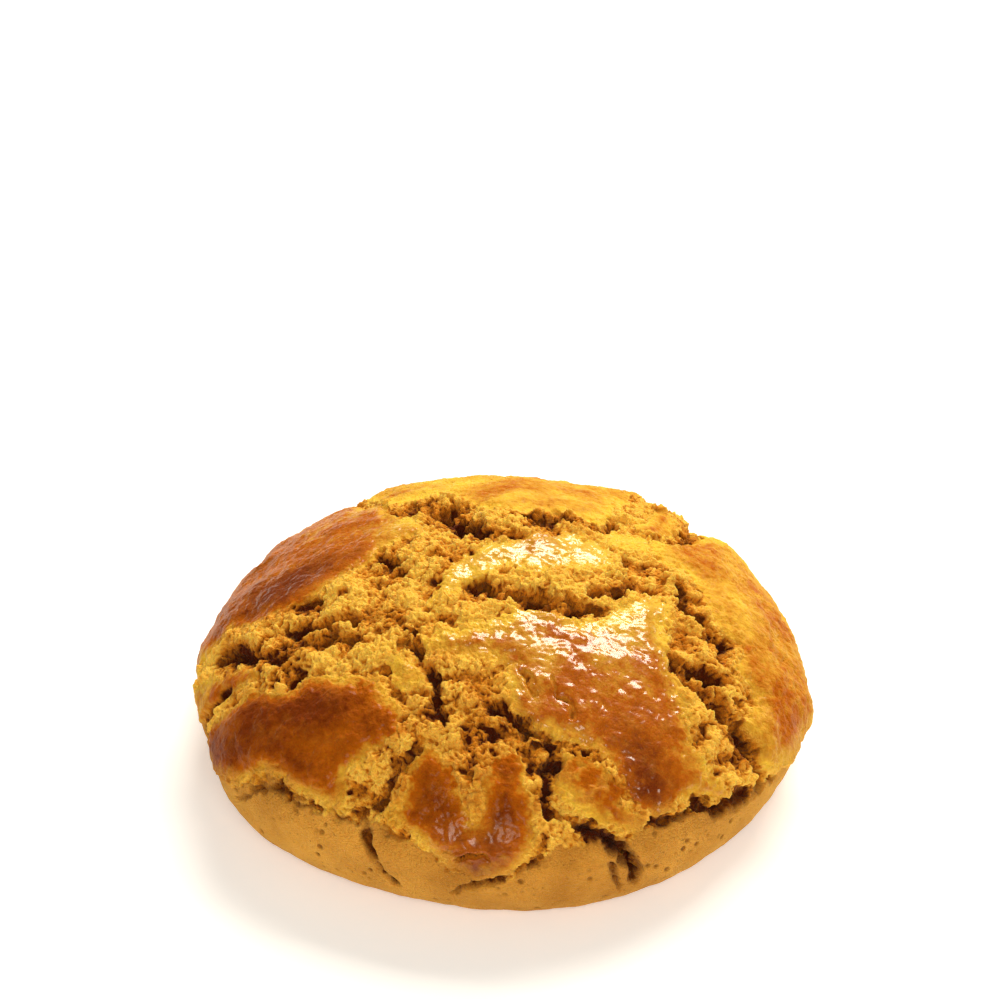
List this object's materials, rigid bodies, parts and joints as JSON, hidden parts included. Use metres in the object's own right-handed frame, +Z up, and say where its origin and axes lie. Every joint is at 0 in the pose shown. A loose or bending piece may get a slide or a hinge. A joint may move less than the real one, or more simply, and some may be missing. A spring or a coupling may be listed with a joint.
{
  "type": "round cornbread bun",
  "caption": "Round domed cornbread bun with a burst, glazed crust over torn crumb, a pale skirt and a flat underside to rest on.",
  "frame": {"origin": "centre of the flat underside's level, at the middle of the bun's outline", "axes": "+Z up from the underside to the crown, -Y towards the side with the chin-shaped plate of crust, +X to that view's right"},
  "size_m": [0.1028, 0.1042, 0.0387],
  "materials": {
    "baked_crust": "egg-washed amber crust, torn yellow crumb and pale matt skirt"
  },
  "bodies": {
    "root": {"cornbread": "baked_crust"}
  },
  "joints": []
}
